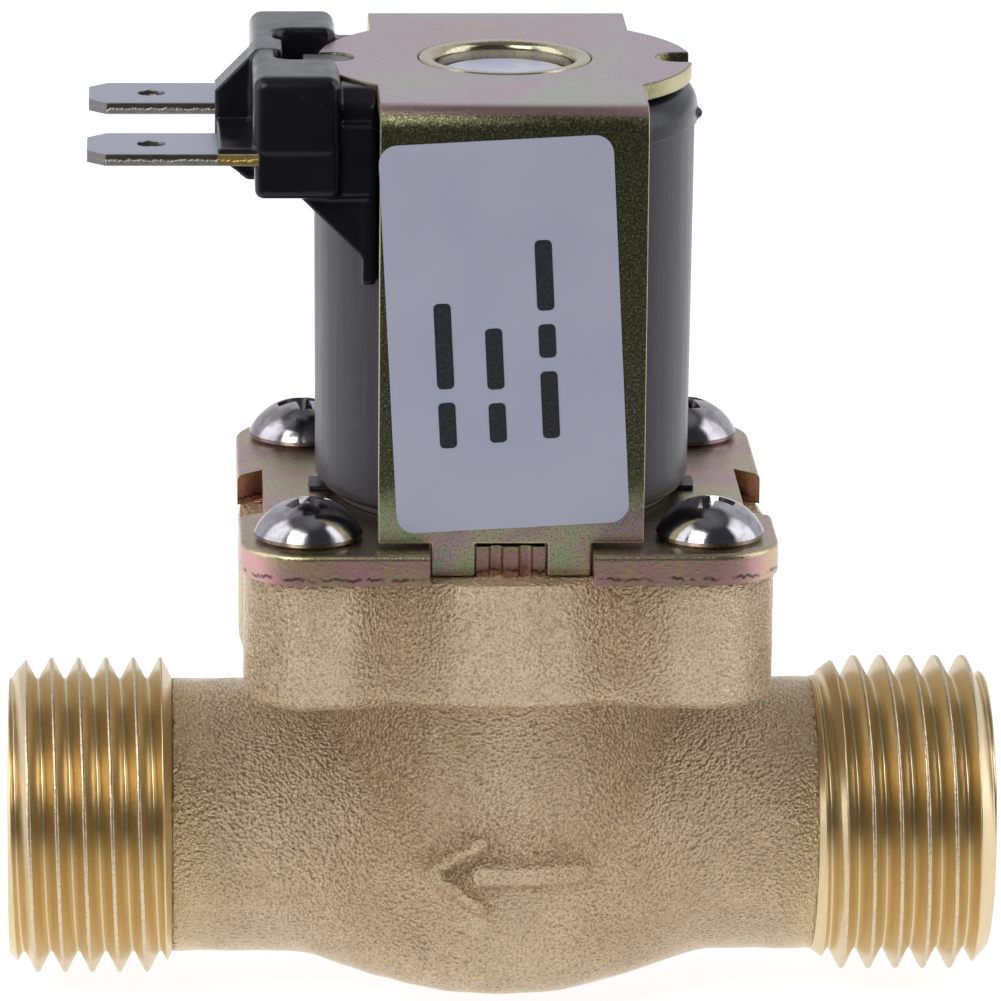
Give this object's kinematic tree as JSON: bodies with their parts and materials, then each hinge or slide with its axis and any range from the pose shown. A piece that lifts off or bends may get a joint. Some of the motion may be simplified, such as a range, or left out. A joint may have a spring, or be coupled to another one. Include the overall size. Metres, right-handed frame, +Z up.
{
  "type": "solenoid valve",
  "caption": "Brass diaphragm solenoid valve with male pipe ends, clamped cover plate, steel yoke, round coil and blade terminals.",
  "frame": {"origin": "centre of the inlet port's end face, on the pipe axis", "axes": "+X along the pipe axis, out of the inlet port; +Z up along the coil; +Y to the back, away from the leg that carries the label"},
  "size_m": [0.065, 0.0352, 0.0636],
  "materials": {
    "cast_brass": "shot-blasted casting with machined yellow threads",
    "white_plastic": "natural moulded acetal",
    "black_rubber": "moulded nitrile",
    "guide_tube_plastic": "natural glass-filled nylon",
    "plunger_steel": "turned magnetic stainless steel",
    "seal_rubber": "moulded fluoro rubber",
    "spring_steel": "drawn spring wire",
    "zinc_chromate_plate": "yellow-passivated zinc plate, iridescent",
    "nickel_screw": "nickel plated, bright",
    "zinc_chromate_yoke": "yellow-passivated zinc plate, iridescent",
    "label_film": "satin vinyl film",
    "zinc_chromate_sleeve": "yellow-passivated zinc plate, bright",
    "bobbin_plastic": "moulded nylon",
    "copper_winding": "enamelled copper wire",
    "tape_film": "polyester tape",
    "coil_sleeve_plastic": "satin moulded sleeve",
    "housing_plastic": "glossy moulded nylon",
    "tinned_brass": "tin plated brass",
    "lead_wire": "tinned copper wire"
  },
  "bodies": {
    "valve": {"valve_body": "cast_brass", "inlet_strainer": "white_plastic", "guide_tube": "guide_tube_plastic", "plunger_spring": "spring_steel", "cover_plate": "zinc_chromate_plate", "cover_screws": "nickel_screw", "yoke": "zinc_chromate_yoke", "label": "label_film", "upper_flux_sleeve": "zinc_chromate_sleeve", "lower_flux_sleeve": "zinc_chromate_sleeve", "bobbin": "bobbin_plastic", "winding": "copper_winding", "insulation_tape": "tape_film", "coil_sleeve": "coil_sleeve_plastic", "terminal_housing": "housing_plastic", "terminal_front": "tinned_brass", "terminal_rear": "tinned_brass", "lead_front": "lead_wire", "lead_rear": "lead_wire"},
    "plunger": {"plunger": "plunger_steel", "plunger_seal": "seal_rubber"},
    "diaphragm": {"diaphragm": "black_rubber", "pilot_insert": "white_plastic"}
  },
  "joints": [
    {"name": "plunger_lift", "type": "slide", "parent": "valve", "child": "plunger", "axis": [0, 0, 1], "range_m": [0, 0.003], "stiffness_N_per_m": 120, "springref_m": -0.008, "deforming": ["plunger_spring"]},
    {"name": "diaphragm_lift", "type": "slide", "parent": "valve", "child": "diaphragm", "axis": [0, 0, 1], "range_m": [0, 0.0024], "deforming": ["diaphragm"]}
  ],
  "couplings": [
    {"joint": "diaphragm_lift", "follows": "plunger_lift", "ratio": 0.8}
  ]
}
